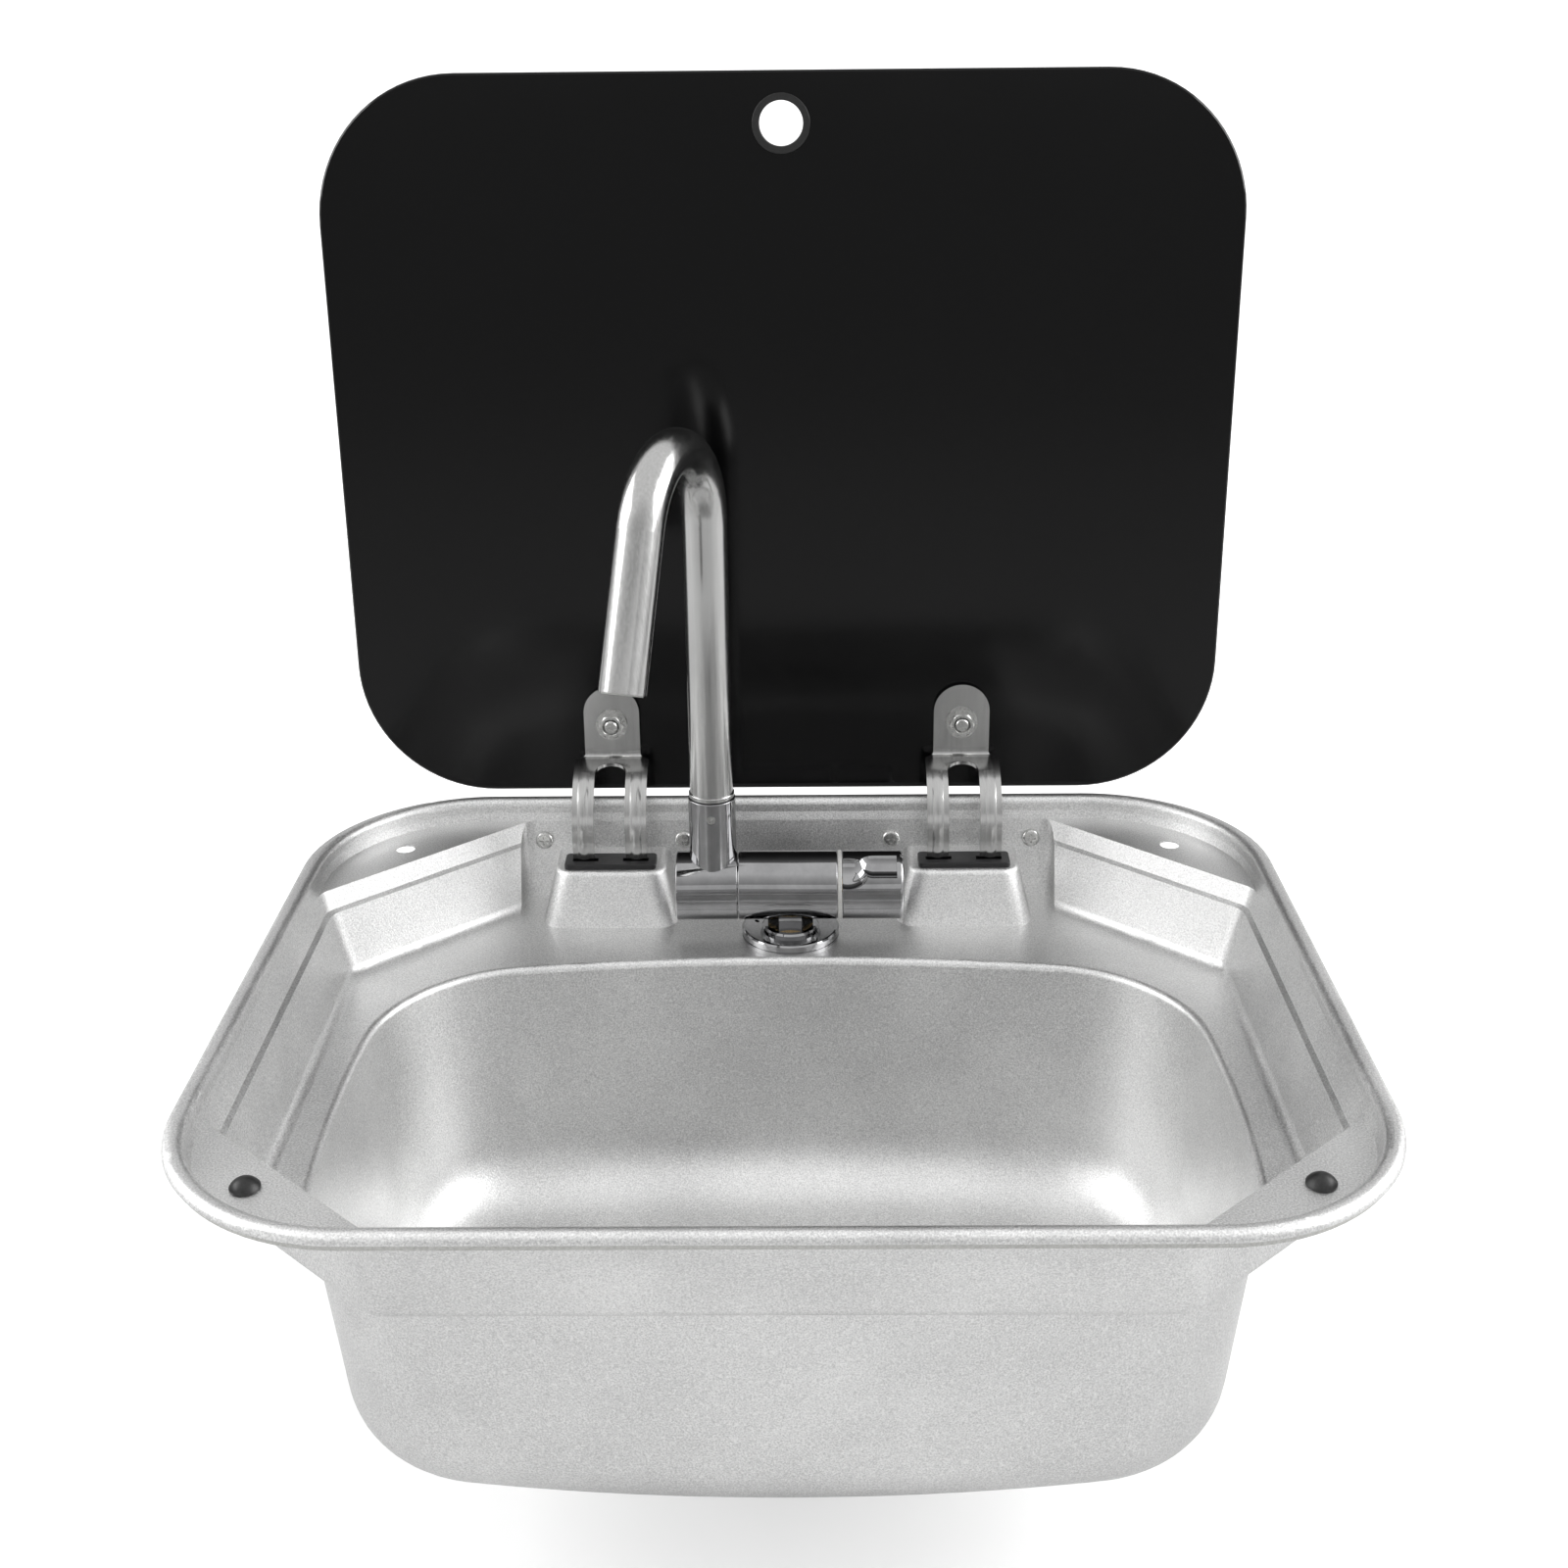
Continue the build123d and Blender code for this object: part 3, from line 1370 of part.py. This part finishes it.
def waste_strainer():
    """Lift-out basket with two rings of holes and a knob."""
    rim = waste_flange_height - strainer_sheet
    wall = waste_bore_radius - strainer_gap
    floor = waste_flange_height - strainer_depth
    basket = turned([
        (0, floor - strainer_sheet),
        (wall, floor - strainer_sheet),
        (wall, rim),
        (strainer_rim_radius, rim),
        (strainer_rim_radius, rim + strainer_sheet),
        (wall - strainer_sheet, rim + strainer_sheet),
        (wall - strainer_sheet, floor),
        (strainer_knob_radius / 2, floor),
        (strainer_knob_radius / 2, floor + strainer_knob_height / 2),
        (strainer_knob_radius, floor + strainer_knob_height * 0.6),
        (strainer_knob_radius, floor + strainer_knob_height),
        (0, floor + strainer_knob_height),
    ])
    for row in range(1, strainer_row_count + 1):
        radius = row * strainer_row_spacing
        count = row * strainer_row_hole_count
        for number in range(count):
            angle = 2 * math.pi * number / count
            x = radius * math.cos(angle)
            y = waste_y() + radius * math.sin(angle)
            low = level(bowl_depth) + floor - 2 * strainer_sheet
            basket -= disc(x, y, low, low + 3 * strainer_sheet, strainer_hole_radius)
    return basket


# ---- One file to a piece

os.makedirs("parts", exist_ok=True)
write("sink_basin", sink_basin())
write("rim_seal", rim_seal())
write("corner_bumpers", corner_bumpers())
write("glass_lid", glass_lid())
write("lid_grommet", lid_grommet())
right_arm = hinge_arm()
write("hinge_arm_right", right_arm)
write("hinge_arm_left", mirror(right_arm, about=Plane.YZ))
write("arm_pads", arm_pads())
write("lid_bolts", lid_bolts())
write("bolt_gaskets", bolt_gaskets())
write("lid_nuts", lid_nuts())
right_bush = slot_bush()
write("slot_bush_right", right_bush)
write("slot_bush_left", mirror(right_bush, about=Plane.YZ))
right_guide = hinge_guide()
write("hinge_guide_right", right_guide)
write("hinge_guide_left", mirror(right_guide, about=Plane.YZ))
write("guide_pins", guide_pins())
write("hinge_screws", hinge_screws())
write("tap_flange", tap_flange())
write("tap_body", tap_body())
write("handle_ring", handle_ring())
write("tap_shank", tap_shank())
write("deck_washer", deck_washer())
write("deck_nut", deck_nut())
write("swivel_body", swivel_body())
write("swivel_o_rings", swivel_o_rings())
write("grub_screw", grub_screw())
write("spout_tube", spout_tube())
write("spout_o_rings", spout_o_rings())
write("aerator", aerator())
write("tap_cartridge", tap_cartridge())
write("cartridge_spindle", cartridge_spindle())
write("tap_handle", tap_handle())
write("handle_screw", handle_screw())
write("handle_end_cap", handle_end_cap())
write("waste_flange", waste_flange())
write("waste_gasket", waste_gasket())
write("waste_nut", waste_nut())
write("waste_tail", waste_tail())
write("waste_strainer", waste_strainer())
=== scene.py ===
import math

import bpy
from mathutils import Matrix, Vector


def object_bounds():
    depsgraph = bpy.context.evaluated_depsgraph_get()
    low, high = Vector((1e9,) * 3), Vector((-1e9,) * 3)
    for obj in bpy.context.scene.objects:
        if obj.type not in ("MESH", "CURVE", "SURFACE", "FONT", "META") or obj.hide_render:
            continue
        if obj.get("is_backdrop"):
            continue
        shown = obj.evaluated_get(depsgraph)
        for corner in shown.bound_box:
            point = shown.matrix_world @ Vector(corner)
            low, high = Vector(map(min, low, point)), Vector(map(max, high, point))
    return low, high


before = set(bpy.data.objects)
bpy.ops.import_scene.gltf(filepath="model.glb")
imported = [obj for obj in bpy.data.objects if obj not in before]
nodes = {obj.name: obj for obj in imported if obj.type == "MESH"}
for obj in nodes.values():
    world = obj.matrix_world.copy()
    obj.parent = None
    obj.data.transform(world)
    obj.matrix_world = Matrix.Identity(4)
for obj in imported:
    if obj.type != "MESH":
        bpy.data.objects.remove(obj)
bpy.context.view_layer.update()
print("frame loaded,", len(nodes), "nodes")

scene = bpy.context.scene


# camera, from where the photo was taken

cameraSet = {
    "place": (0.0085, -0.6745, 0.3709),
    "pitch": 23.07,   # degrees below the horizon
    "yaw": -0.67,
    "roll": -0.6,
    "lens": 45.28,
    "sensor": 36.0,
    "nearest": 0.02,
    "farthest": 60,
}


def makeCamera(look):
    pitch, yaw, roll = (math.radians(look[key]) for key in ("pitch", "yaw", "roll"))
    ahead = Vector((math.sin(yaw) * math.cos(pitch), math.cos(yaw) * math.cos(pitch), -math.sin(pitch)))
    side = Vector((math.cos(yaw), -math.sin(yaw), 0))
    up = side.cross(ahead)
    tiltedSide = side * math.cos(roll) + up * math.sin(roll)
    tiltedUp = up * math.cos(roll) - side * math.sin(roll)
    data = bpy.data.cameras.new("photoCamera")
    data.lens = look["lens"]
    data.sensor_width = look["sensor"]
    data.clip_start = look["nearest"]
    data.clip_end = look["farthest"]
    camera = bpy.data.objects.new("photoCamera", data)
    scene.collection.objects.link(camera)
    turn = Matrix((tiltedSide, tiltedUp, -ahead)).transposed().to_4x4()
    camera.matrix_world = Matrix.Translation(look["place"]) @ turn
    scene.camera = camera


makeCamera(cameraSet)
print("camera placed")


# small helpers for materials

def startMaterial(name, metal=False):
    material = bpy.data.materials.new(name)
    material.use_nodes = True
    tree = material.node_tree
    shader = tree.nodes["Principled BSDF"]
    shader.inputs["Metallic"].default_value = 1 if metal else 0
    return material, tree, shader


def coords(tree, stretch=(1, 1, 1)):
    place = tree.nodes.new("ShaderNodeTexCoord")
    mapping = tree.nodes.new("ShaderNodeMapping")
    mapping.inputs["Scale"].default_value = stretch
    tree.links.new(place.outputs["Object"], mapping.inputs["Vector"])
    return mapping.outputs["Vector"]


def noise(tree, vector, scale, detail=3.0, rough=0.5):
    node = tree.nodes.new("ShaderNodeTexNoise")
    node.inputs["Scale"].default_value = scale
    node.inputs["Detail"].default_value = detail
    node.inputs["Roughness"].default_value = rough
    tree.links.new(vector, node.inputs["Vector"])
    return node.outputs["Fac"]


def spread(tree, value, low, high, start=0.3, end=0.7):
    node = tree.nodes.new("ShaderNodeMapRange")
    node.inputs["From Min"].default_value = start
    node.inputs["From Max"].default_value = end
    node.inputs["To Min"].default_value = low
    node.inputs["To Max"].default_value = high
    tree.links.new(value, node.inputs["Value"])
    return node.outputs["Result"]


def blendColor(tree, value, dark, light):
    node = tree.nodes.new("ShaderNodeMix")
    node.data_type = "RGBA"
    node.inputs["A"].default_value = (*dark, 1)
    node.inputs["B"].default_value = (*light, 1)
    tree.links.new(value, node.inputs["Factor"])
    return node.outputs["Result"]


def maths(tree, kind, first, second):
    node = tree.nodes.new("ShaderNodeMath")
    node.operation = kind
    for socket, value in zip(node.inputs, (first, second)):
        if isinstance(value, (int, float)):
            socket.default_value = value
        else:
            tree.links.new(value, socket)
    return node.outputs["Value"]


def mixTones(tree, first, second, share):
    return maths(tree, "ADD", maths(tree, "MULTIPLY", first, share), maths(tree, "MULTIPLY", second, 1 - share))


def bump(tree, shader, height, look):
    node = tree.nodes.new("ShaderNodeBump")
    node.inputs["Strength"].default_value = look["bump"]
    node.inputs["Distance"].default_value = look["bumpDepth"]
    tree.links.new(height, node.inputs["Height"])
    tree.links.new(node.outputs["Normal"], shader.inputs["Normal"])


def paint(tree, shader, tone, look):
    tree.links.new(blendColor(tree, tone, look["dark"], look["light"]), shader.inputs["Base Color"])


def roughen(tree, shader, tone, look, *span):
    rough = spread(tree, tone, look["roughLow"], look["roughHigh"], *span)
    tree.links.new(rough, shader.inputs["Roughness"])


def dress(names, material):
    for name in names:
        data = nodes[name].data
        data.materials.clear()
        data.materials.append(material)


# basin, pressed from satin stainless sheet

basinSet = {
    "pieces": ["sink_basin", "waste_flange", "waste_strainer"],
    "dark": (0.58, 0.58, 0.58),
    "light": (0.92, 0.92, 0.915),
    "roughLow": 0.36,
    "roughHigh": 0.50,
    "grainScale": 1500,
    "cloudScale": 18,
    "cloudShare": 0.25,
    "toneSpan": (0.36, 0.64),
    "bump": 0.5,
    "bumpDepth": 0.0002,
}


def makeSatinSteel(look):
    material, tree, shader = startMaterial("satinSteel", metal=True)
    where = coords(tree)
    cloud = noise(tree, where, look["cloudScale"], 4)
    fine = noise(tree, where, look["grainScale"], 2, 0.6)
    tone = mixTones(tree, cloud, fine, look["cloudShare"])
    paint(tree, shader, spread(tree, tone, 0, 1, *look["toneSpan"]), look)
    roughen(tree, shader, tone, look, *look["toneSpan"])
    bump(tree, shader, fine, look)
    return material


dress(basinSet["pieces"], makeSatinSteel(basinSet))
print("basin dressed")


# steel strip of the hinge arms and the spout tube, brushed along their length

brushedSet = {
    "dark": (0.42, 0.42, 0.415),
    "light": (0.52, 0.52, 0.515),
    "roughLow": 0.15,
    "roughHigh": 0.23,
    "lineScale": 900,
    "lineShare": 0.7,
    "cloudScale": 60,
    "bump": 0.05,
    "bumpDepth": 0.0001,
    "alongArm": (1, 0.06, 0.06),
    "alongTube": (1, 1, 0.03),
}


def makeBrushed(name, look, stretch):
    material, tree, shader = startMaterial(name, metal=True)
    line = noise(tree, coords(tree, stretch), look["lineScale"], 4, 0.65)
    cloud = noise(tree, coords(tree), look["cloudScale"])
    tone = mixTones(tree, line, cloud, look["lineShare"])
    paint(tree, shader, spread(tree, tone, 0, 1), look)
    roughen(tree, shader, line, look)
    bump(tree, shader, line, look)
    return material


brushedArm = makeBrushed("brushedArm", brushedSet, brushedSet["alongArm"])
brushedTube = makeBrushed("brushedTube", brushedSet, brushedSet["alongTube"])
dress(["hinge_arm_left", "hinge_arm_right"], brushedArm)
dress(["spout_tube"], brushedTube)
print("arms and spout dressed")


# chrome of the tap's barrels, foot and handle

chromeSet = {
    "pieces": ["tap_flange", "tap_body", "swivel_body", "tap_handle", "handle_end_cap"],
    "dark": (0.29, 0.29, 0.295),
    "light": (0.37, 0.37, 0.375),
    "roughLow": 0.03,
    "roughHigh": 0.08,
    "filmScale": 90,
    "rippleScale": 400,
    "bump": 0.015,
    "bumpDepth": 0.0001,
}


def makeChrome(look):
    material, tree, shader = startMaterial("tapChrome", metal=True)
    where = coords(tree)
    film = noise(tree, where, look["filmScale"], 5, 0.6)
    paint(tree, shader, spread(tree, film, 0, 1), look)
    roughen(tree, shader, film, look)
    bump(tree, shader, noise(tree, where, look["rippleScale"], 2), look)
    return material


dress(chromeSet["pieces"], makeChrome(chromeSet))


# plated fasteners and turned brass, which share a grain

fastenerSet = {
    "platedSteel": {
        "pieces": ["lid_bolts", "lid_nuts", "hinge_screws", "guide_pins", "grub_screw", "handle_screw"],
        "dark": (0.42, 0.42, 0.41),
        "light": (0.68, 0.68, 0.67),
        "roughLow": 0.16,
        "roughHigh": 0.34,
    },
    "turnedBrass": {
        "pieces": ["tap_shank", "deck_nut", "cartridge_spindle"],
        "dark": (0.45, 0.30, 0.13),
        "light": (0.70, 0.52, 0.27),
        "roughLow": 0.2,
        "roughHigh": 0.38,
    },
}
turnedGrain = {"fineScale": 1500, "patchScale": 300, "bump": 0.08, "bumpDepth": 0.0001}


def makePlated(name, look, grain):
    material, tree, shader = startMaterial(name, metal=True)
    where = coords(tree)
    fine = noise(tree, where, grain["fineScale"], 3, 0.6)
    paint(tree, shader, spread(tree, fine, 0, 1), look)
    roughen(tree, shader, noise(tree, where, grain["patchScale"], 2), look)
    bump(tree, shader, fine, grain)
    return material


for finish, look in fastenerSet.items():
    dress(look["pieces"], makePlated(finish, look, turnedGrain))
print("tap and fasteners dressed")


# black glass of the lid

glassSet = {
    "color": (0.0018, 0.0018, 0.002),
    "roughLow": 0.09,
    "roughHigh": 0.15,
    "smudgeScale": 14,
    "dustScale": 900,
    "dustSpan": (0.74, 0.80),
    "dustLift": 0.012,
    "dustRough": 0.1,
    "refraction": 1.45,
    "shine": 0.3,
    "bump": 0.01,
    "bumpDepth": 0.0005,
}


def makeBlackGlass(look):
    material, tree, shader = startMaterial("blackGlass")
    where = coords(tree)
    smudge = noise(tree, where, look["smudgeScale"], 4, 0.55)
    dust = noise(tree, where, look["dustScale"], 2, 0.7)
    speck = spread(tree, dust, 0, 1, *look["dustSpan"])
    lifted = tuple(part + look["dustLift"] for part in look["color"])
    tree.links.new(blendColor(tree, speck, look["color"], lifted), shader.inputs["Base Color"])
    clean = spread(tree, smudge, look["roughLow"], look["roughHigh"])
    rough = maths(tree, "ADD", clean, maths(tree, "MULTIPLY", speck, look["dustRough"]))
    tree.links.new(rough, shader.inputs["Roughness"])
    shader.inputs["IOR"].default_value = look["refraction"]
    shader.inputs["Specular IOR Level"].default_value = look["shine"]
    bump(tree, shader, smudge, look)
    return material


dress(["glass_lid"], makeBlackGlass(glassSet))
print("glass dressed")


# rubber, moulded plastic and foam

softSet = {
    "rubber": {
        "pieces": [
            "corner_bumpers", "lid_grommet", "arm_pads", "bolt_gaskets",
            "deck_washer", "swivel_o_rings", "spout_o_rings", "waste_gasket",
        ],
        "dark": (0.006, 0.006, 0.006),
        "light": (0.018, 0.018, 0.018),
        "roughLow": 0.30,
        "roughHigh": 0.5,
        "poreScale": 1200,
        "bump": 0.1,
        "bumpDepth": 0.0003,
    },
    "moulded": {
        "pieces": [
            "slot_bush_left", "slot_bush_right", "hinge_guide_left",
            "hinge_guide_right", "waste_nut", "waste_tail",
        ],
        "dark": (0.008, 0.008, 0.009),
        "light": (0.02, 0.02, 0.021),
        "roughLow": 0.28,
        "roughHigh": 0.45,
        "poreScale": 2400,
        "bump": 0.08,
        "bumpDepth": 0.0003,
    },
    "whitePlastic": {
        "pieces": ["aerator", "tap_cartridge", "handle_ring"],
        "dark": (0.60, 0.60, 0.58),
        "light": (0.72, 0.72, 0.70),
        "roughLow": 0.35,
        "roughHigh": 0.5,
        "poreScale": 1600,
        "bump": 0.06,
        "bumpDepth": 0.0003,
    },
    "foam": {
        "pieces": ["rim_seal"],
        "dark": (0.58, 0.58, 0.56),
        "light": (0.76, 0.76, 0.74),
        "roughLow": 0.85,
        "roughHigh": 0.98,
        "poreScale": 1100,
        "bump": 0.5,
        "bumpDepth": 0.0003,
    },
}
softPatchScale = 120


def makeSoft(name, look):
    material, tree, shader = startMaterial(name)
    where = coords(tree)
    pores = noise(tree, where, look["poreScale"], 3, 0.6)
    paint(tree, shader, spread(tree, pores, 0, 1), look)
    roughen(tree, shader, noise(tree, where, softPatchScale), look)
    bump(tree, shader, pores, look)
    return material


for finish, look in softSet.items():
    dress(look["pieces"], makeSoft(finish, look))
print("rubber, plastic and foam dressed")


# smooth shading over round faces, sharp at real edges, with large faces kept flat

sharpAngle = math.radians(32)


def shadeEvenly(mesh):
    mesh.shade_smooth()
    mesh.set_sharp_from_angle(angle=sharpAngle)
    facings = [face.normal.copy() for face in mesh.polygons]
    weighted = [face.normal * face.area for face in mesh.polygons]
    around = [[] for _ in mesh.vertices]
    for face in mesh.polygons:
        for corner in face.vertices:
            around[corner].append(face.index)
    limit = math.cos(sharpAngle)
    cornerNormals = []
    for face in mesh.polygons:
        own = facings[face.index]
        for corner in face.vertices:
            total = Vector()
            for other in around[corner]:
                if own.dot(facings[other]) > limit:
                    total += weighted[other]
            cornerNormals.append(total.normalized() if total.length > 0 else own)
    mesh.normals_split_custom_set(cornerNormals)


for piece in nodes.values():
    shadeEvenly(piece.data)
print("shading evened")


# pale floor that curves up behind

floorSet = {
    "gap": 0.0005,
    "halfWidth": 6.0,
    "front": -5.0,
    "back": 2.2,
    "bendRadius": 1.5,
    "bendSteps": 16,
    "height": 5.0,
    "color": (0.84, 0.84, 0.84),
    "fleckScale": 6,
    "fleckLift": 0.01,
    "rough": 0.9,
    "shine": 0.1,
    "nearLiftPaintedShade": 0.45,       # the camera sees a paler floor; its glow is weaker near the object, painted shade there that keeps the object's shadow
    "farLift": 0.8,         # away from the object it is plain white
    "liftSpan": (0.35, 1.3),
    "mirroredLift": 0.05,   # the floor as the metal sees it
}


def seenInGloss(tree, rays):
    return maths(tree, "MAXIMUM", rays.outputs["Is Glossy Ray"], rays.outputs["Is Transmission Ray"])


def makeFloorMaterial(look):
    material, tree, shader = startMaterial("paleFloor")
    fleck = noise(tree, coords(tree), look["fleckScale"], 2)
    light = tuple(part + look["fleckLift"] for part in look["color"])
    tree.links.new(blendColor(tree, fleck, look["color"], light), shader.inputs["Base Color"])
    shader.inputs["Roughness"].default_value = look["rough"]
    shader.inputs["Specular IOR Level"].default_value = look["shine"]
    rays = tree.nodes.new("ShaderNodeLightPath")
    distance = tree.nodes.new("ShaderNodeVectorMath")
    distance.operation = "LENGTH"
    tree.links.new(coords(tree), distance.inputs[0])
    # painted shade: the floor glows less for the camera near the object, so it is darker there under any lamp
    glowShadedNearObject = spread(tree, distance.outputs["Value"], look["nearLiftPaintedShade"], look["farLift"], *look["liftSpan"])
    toCamera = maths(tree, "MULTIPLY", rays.outputs["Is Camera Ray"], glowShadedNearObject)
    toGloss = maths(tree, "MULTIPLY", seenInGloss(tree, rays), look["mirroredLift"])
    shader.inputs["Emission Color"].default_value = (1, 1, 1, 1)
    tree.links.new(maths(tree, "ADD", toCamera, toGloss), shader.inputs["Emission Strength"])
    return material


def makeFloor(look):
    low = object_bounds()[0].z - look["gap"]
    radius = look["bendRadius"]
    profile = [(look["front"], low), (look["back"], low)]
    for step in range(1, look["bendSteps"] + 1):
        turn = math.radians(90 * step / look["bendSteps"])
        profile.append((look["back"] + radius * math.sin(turn), low + radius * (1 - math.cos(turn))))
    profile.append((profile[-1][0], low + look["height"]))
    verts = [(side * look["halfWidth"], y, z) for y, z in profile for side in (-1, 1)]
    faces = [(2 * i, 2 * i + 1, 2 * i + 3, 2 * i + 2) for i in range(len(profile) - 1)]
    mesh = bpy.data.meshes.new("paleFloor")
    mesh.from_pydata(verts, [], faces)
    mesh.shade_smooth()
    floor = bpy.data.objects.new("paleFloor", mesh)
    scene.collection.objects.link(floor)
    mesh.materials.append(makeFloorMaterial(look))
    floor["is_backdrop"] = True


# soft lamps and a plain room

lampTarget = (0, 0.02, 0)
lampSet = {
    "frontLamp": {"place": (0.0, -2.5, 0.83), "size": (3.2, 0.7), "watts": 3},
    "leftLamp": {"place": (-1.8, 0.1, 1.0), "size": (1.6, 1.3), "watts": 22},
    "rightLamp": {"place": (1.8, 0.1, 1.0), "size": (1.6, 1.3), "watts": 28},
}


def makeLamp(name, look):
    data = bpy.data.lights.new(name, "AREA")
    data.shape = "RECTANGLE"
    data.size, data.size_y = look["size"]
    data.energy = look["watts"]
    lamp = bpy.data.objects.new(name, data)
    lamp.location = look["place"]
    scene.collection.objects.link(lamp)
    lamp.rotation_mode = "QUATERNION"
    lamp.rotation_quaternion = (Vector(lampTarget) - lamp.location).to_track_quat("-Z", "Y")


roomSet = {
    "ambient": 0.45,
    "mirrored": 1.05,        # the room as the metal sees it
    "mirroredFront": 0.45,   # its side in front of the object is dimmer
    "frontSpan": (-0.95, -0.5),
}


def makeRoom(look):
    world = bpy.data.worlds.new("plainRoom")
    scene.world = world
    world.use_nodes = True
    tree = world.node_tree
    back = tree.nodes["Background"]
    rays = tree.nodes.new("ShaderNodeLightPath")
    glossy = seenInGloss(tree, rays)
    split = tree.nodes.new("ShaderNodeSeparateXYZ")
    tree.links.new(tree.nodes.new("ShaderNodeTexCoord").outputs["Generated"], split.inputs["Vector"])
    seen = spread(tree, split.outputs["Y"], look["mirroredFront"], look["mirrored"], *look["frontSpan"])
    mirrored = maths(tree, "MULTIPLY", glossy, seen)
    unseen = spread(tree, glossy, look["ambient"], 0, 0, 1)
    strength = maths(tree, "MAXIMUM", maths(tree, "ADD", mirrored, unseen), rays.outputs["Is Camera Ray"])
    back.inputs["Color"].default_value = (1, 1, 1, 1)
    tree.links.new(strength, back.inputs["Strength"])


makeFloor(floorSet)
for name, look in lampSet.items():
    makeLamp(name, look)
makeRoom(roomSet)
scene.view_settings.view_transform = "Standard"
print("floor, lamps and room made")
